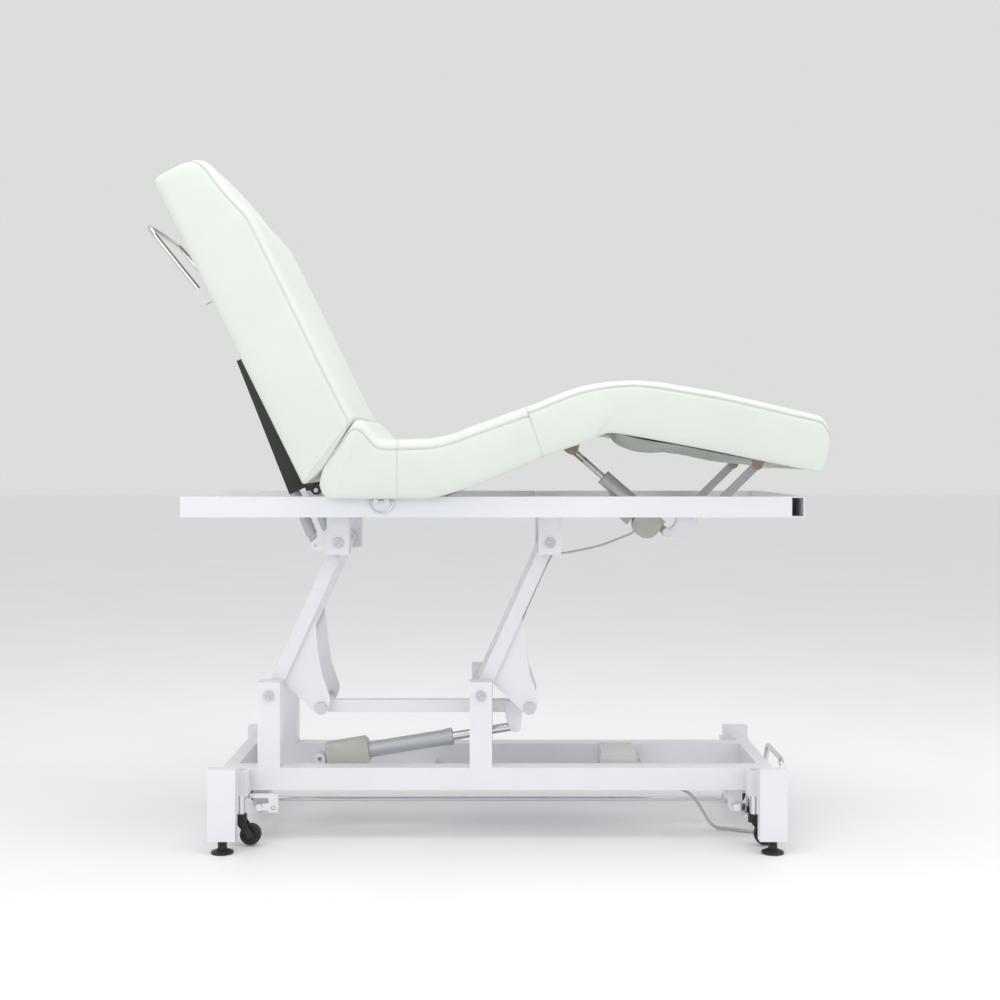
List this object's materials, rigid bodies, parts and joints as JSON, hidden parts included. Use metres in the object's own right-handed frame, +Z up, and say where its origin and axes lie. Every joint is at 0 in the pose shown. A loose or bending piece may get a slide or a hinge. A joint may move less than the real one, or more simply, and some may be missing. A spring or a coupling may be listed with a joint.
{
  "type": "facial treatment bed",
  "caption": "Powered treatment bed for facials with a reclining back, raised leg rest and lever lift on a steel base.",
  "frame": {"origin": "centre of the bed's overall box, on the floor", "axes": "+X towards the foot end, +Y towards the user's left side, +Z up"},
  "size_m": [1.5023, 0.64, 1.5028],
  "materials": {
    "white_steel": "satin powder coat",
    "white_plastic": "satin",
    "box_grey": "matte",
    "zinc_pin": "zinc plated",
    "grey_tube": "satin grey",
    "black_plastic": "matte",
    "wheel_rubber": "matte",
    "black_steel": "satin black",
    "motor_beige": "fine texture",
    "chrome_rod": "polished",
    "cable_grey": "matte",
    "board": "sealed plywood",
    "sage_leather": "smooth synthetic leather"
  },
  "bodies": {
    "base": {"base_frame": "white_steel", "corner_legs": "white_steel", "tube_caps": "white_plastic", "levelling_feet": "black_plastic", "caster_sleeves": "white_steel", "lift_posts": "white_steel", "lower_axles": "zinc_pin", "cable_tray": "white_steel", "control_box": "box_grey", "base_brackets": "white_steel", "tray_cable": "cable_grey", "mains_cord": "cable_grey", "mains_hank": "cable_grey", "mains_plug": "cable_grey"},
    "foot_lever_set": {"foot_lever": "white_steel", "foot_tie_pin": "zinc_pin", "lever_cable": "cable_grey"},
    "head_lever_set": {"head_lever": "white_steel", "head_tie_pin": "zinc_pin"},
    "tie": {"tie_bar": "white_steel"},
    "lift_tube_set": {"lift_gearbox": "motor_beige", "lift_tube": "grey_tube"},
    "lift_rod_set": {"lift_rod": "chrome_rod"},
    "upper_frame": {"frame_rails": "white_steel", "frame_crossbars": "white_steel", "top_brackets": "white_steel", "upper_axles": "zinc_pin", "leg_drive_bracket": "white_steel", "back_hinges": "white_steel", "seat_board": "board", "seat_cushion": "sage_leather", "motor_cable": "cable_grey"},
    "back_rest": {"back_board": "board", "back_cushion": "sage_leather", "back_channels": "black_steel", "push_handle": "chrome_rod", "handle_brackets": "white_steel"},
    "strut_tube_set": {"strut_tubes": "grey_tube"},
    "strut_rod_set": {"strut_rods": "black_steel"},
    "thigh_rest": {"thigh_board": "board", "thigh_cushion": "sage_leather"},
    "calf_rest": {"calf_board": "board", "calf_cushion": "sage_leather"},
    "calf_link_set": {"calf_links": "grey_tube"},
    "leg_tube_set": {"leg_gearmotor": "motor_beige", "leg_tube": "grey_tube"},
    "leg_rod_set": {"leg_rod": "chrome_rod"},
    "pedal_set": {"pedal_bar": "chrome_rod"},
    "head_shaft_set": {"head_shaft": "chrome_rod"},
    "sync_rod_set": {"sync_rod": "chrome_rod"},
    "caster_carriage_set": {"caster_carriage": "chrome_rod"},
    "strap_ring_set": {"strap_ring": "chrome_rod"},
    "fork_near_head_set": {"fork_near_head": "black_plastic"},
    "wheel_near_head_set": {"wheel_near_head": "wheel_rubber"},
    "fork_near_foot_set": {"fork_near_foot": "black_plastic"},
    "wheel_near_foot_set": {"wheel_near_foot": "wheel_rubber"},
    "fork_far_head_set": {"fork_far_head": "black_plastic"},
    "wheel_far_head_set": {"wheel_far_head": "wheel_rubber"},
    "fork_far_foot_set": {"fork_far_foot": "black_plastic"},
    "wheel_far_foot_set": {"wheel_far_foot": "wheel_rubber"}
  },
  "joints": [
    {"name": "lift_drive", "type": "hinge", "parent": "base", "child": "foot_lever_set", "pos_m": [-0.0015, 0, 0.3255], "axis": [0, 1, 0], "range_deg": [0, 48]},
    {"name": "head_lever_turn", "type": "hinge", "parent": "base", "child": "head_lever_set", "pos_m": [-0.4755, 0, 0.3255], "axis": [0, 1, 0], "range_deg": [0, 48.2]},
    {"name": "frame_level", "type": "hinge", "parent": "foot_lever_set", "child": "upper_frame", "pos_m": [0.15282, 0, 0.66728], "axis": [0, 1, 0], "range_deg": [-48.2, 0]},
    {"name": "tie_level", "type": "hinge", "parent": "foot_lever_set", "child": "tie", "pos_m": [0.1085, -0.067, 0.2885], "axis": [0, 1, 0], "range_deg": [-48.2, 0]},
    {"name": "lift_tube_turn", "type": "hinge", "parent": "base", "child": "lift_tube_set", "pos_m": [-0.371, -0.067, 0.168], "axis": [0, 1, 0], "range_deg": [0, 9.21]},
    {"name": "lift_rod_turn", "type": "hinge", "parent": "tie", "child": "lift_rod_set", "pos_m": [0.077, -0.067, 0.241], "axis": [0, 1, 0], "range_deg": [0, 9.21]},
    {"name": "back_recline", "type": "hinge", "parent": "upper_frame", "child": "back_rest", "pos_m": [-0.361, 0, 0.787], "axis": [0, -1, 0], "range_deg": [0, 63.7]},
    {"name": "strut_tube_turn", "type": "hinge", "parent": "upper_frame", "child": "strut_tube_set", "pos_m": [-0.372, 0, 0.6614], "axis": [0, -1, 0], "range_deg": [0, 46.51]},
    {"name": "strut_rod_turn", "type": "hinge", "parent": "back_rest", "child": "strut_rod_set", "pos_m": [-0.5032, 0, 0.98443], "axis": [0, -1, 0], "range_deg": [-17.47, 0]},
    {"name": "leg_lower", "type": "hinge", "parent": "upper_frame", "child": "thigh_rest", "pos_m": [-0.087, 0, 0.772], "axis": [0, 1, 0], "range_deg": [0, 21.2]},
    {"name": "knee_bend", "type": "hinge", "parent": "thigh_rest", "child": "calf_rest", "pos_m": [0.28873, 0, 0.92173], "axis": [0, 1, 0], "range_deg": [-32.64, 0]},
    {"name": "calf_link_turn", "type": "hinge", "parent": "upper_frame", "child": "calf_link_set", "pos_m": [0.5212, 0, 0.75], "axis": [0, 1, 0], "range_deg": [0, 40.42]},
    {"name": "leg_drive_turn", "type": "hinge", "parent": "upper_frame", "child": "leg_tube_set", "pos_m": [0.4307, 0, 0.6834], "axis": [0, 1, 0], "range_deg": [-18.75, 0]},
    {"name": "leg_rod_turn", "type": "hinge", "parent": "thigh_rest", "child": "leg_rod_set", "pos_m": [0.21215, 0, 0.87498], "axis": [0, 1, 0], "range_deg": [-40.04, 0]},
    {"name": "pedal", "type": "hinge", "parent": "base", "child": "pedal_set", "pos_m": [0.571, 0, 0.074], "axis": [0, 1, 0], "range_deg": [0, 20]},
    {"name": "head_shaft_turn", "type": "hinge", "parent": "base", "child": "head_shaft_set", "pos_m": [-0.499, 0, 0.074], "axis": [0, 1, 0], "range_deg": [0, 20.09]},
    {"name": "sync_slide", "type": "slide", "parent": "base", "child": "sync_rod_set", "axis": [-1, 0, 0], "range_m": [0, 0.00564]},
    {"name": "caster_drop", "type": "slide", "parent": "base", "child": "caster_carriage_set", "axis": [0, 0, -1], "range_m": [0, 0.0114]},
    {"name": "swivel_near_head", "type": "hinge", "parent": "caster_carriage_set", "child": "fork_near_head_set", "pos_m": [-0.532, -0.205, 0.06], "axis": [0, 0, 1], "continuous": true},
    {"name": "roll_near_head", "type": "hinge", "parent": "fork_near_head_set", "child": "wheel_near_head_set", "pos_m": [-0.51, -0.205, 0.026], "axis": [0, 1, 0], "continuous": true},
    {"name": "swivel_near_foot", "type": "hinge", "parent": "caster_carriage_set", "child": "fork_near_foot_set", "pos_m": [0.604, -0.205, 0.06], "axis": [0, 0, 1], "continuous": true},
    {"name": "roll_near_foot", "type": "hinge", "parent": "fork_near_foot_set", "child": "wheel_near_foot_set", "pos_m": [0.626, -0.205, 0.026], "axis": [0, 1, 0], "continuous": true},
    {"name": "swivel_far_head", "type": "hinge", "parent": "caster_carriage_set", "child": "fork_far_head_set", "pos_m": [-0.532, 0.205, 0.06], "axis": [0, 0, 1], "continuous": true},
    {"name": "roll_far_head", "type": "hinge", "parent": "fork_far_head_set", "child": "wheel_far_head_set", "pos_m": [-0.554, 0.205, 0.026], "axis": [0, 1, 0], "continuous": true},
    {"name": "swivel_far_foot", "type": "hinge", "parent": "caster_carriage_set", "child": "fork_far_foot_set", "pos_m": [0.604, 0.205, 0.06], "axis": [0, 0, 1], "continuous": true},
    {"name": "roll_far_foot", "type": "hinge", "parent": "fork_far_foot_set", "child": "wheel_far_foot_set", "pos_m": [0.626, 0.205, 0.026], "axis": [0, 1, 0], "continuous": true},
    {"name": "ring_swing", "type": "hinge", "parent": "upper_frame", "child": "strap_ring_set", "pos_m": [-0.215, -0.284, 0.765], "axis": [-1, 0, 0], "range_deg": [0, 75]}
  ],
  "couplings": [
    {"joint": "head_lever_turn", "follows": "lift_drive", "ratio": 1},
    {"joint": "frame_level", "follows": "lift_drive", "ratio": -1},
    {"joint": "tie_level", "follows": "lift_drive", "ratio": -1},
    {"joint": "lift_tube_turn", "follows": "lift_drive", "ratio": 0.191},
    {"joint": "lift_rod_turn", "follows": "lift_drive", "ratio": 0.191},
    {"joint": "strut_tube_turn", "follows": "back_recline", "ratio": 0.727},
    {"joint": "strut_rod_turn", "follows": "back_recline", "ratio": -0.273},
    {"joint": "knee_bend", "follows": "leg_lower", "ratio": -1.533},
    {"joint": "calf_link_turn", "follows": "leg_lower", "ratio": 1.8987},
    {"joint": "leg_drive_turn", "follows": "leg_lower", "ratio": -0.8805},
    {"joint": "leg_rod_turn", "follows": "leg_lower", "ratio": -1.8805},
    {"joint": "head_shaft_turn", "follows": "pedal", "ratio": 1},
    {"joint": "sync_slide", "follows": "pedal", "m_per_rad": 0.015677},
    {"joint": "caster_drop", "follows": "pedal", "m_per_rad": 0.032334}
  ]
}
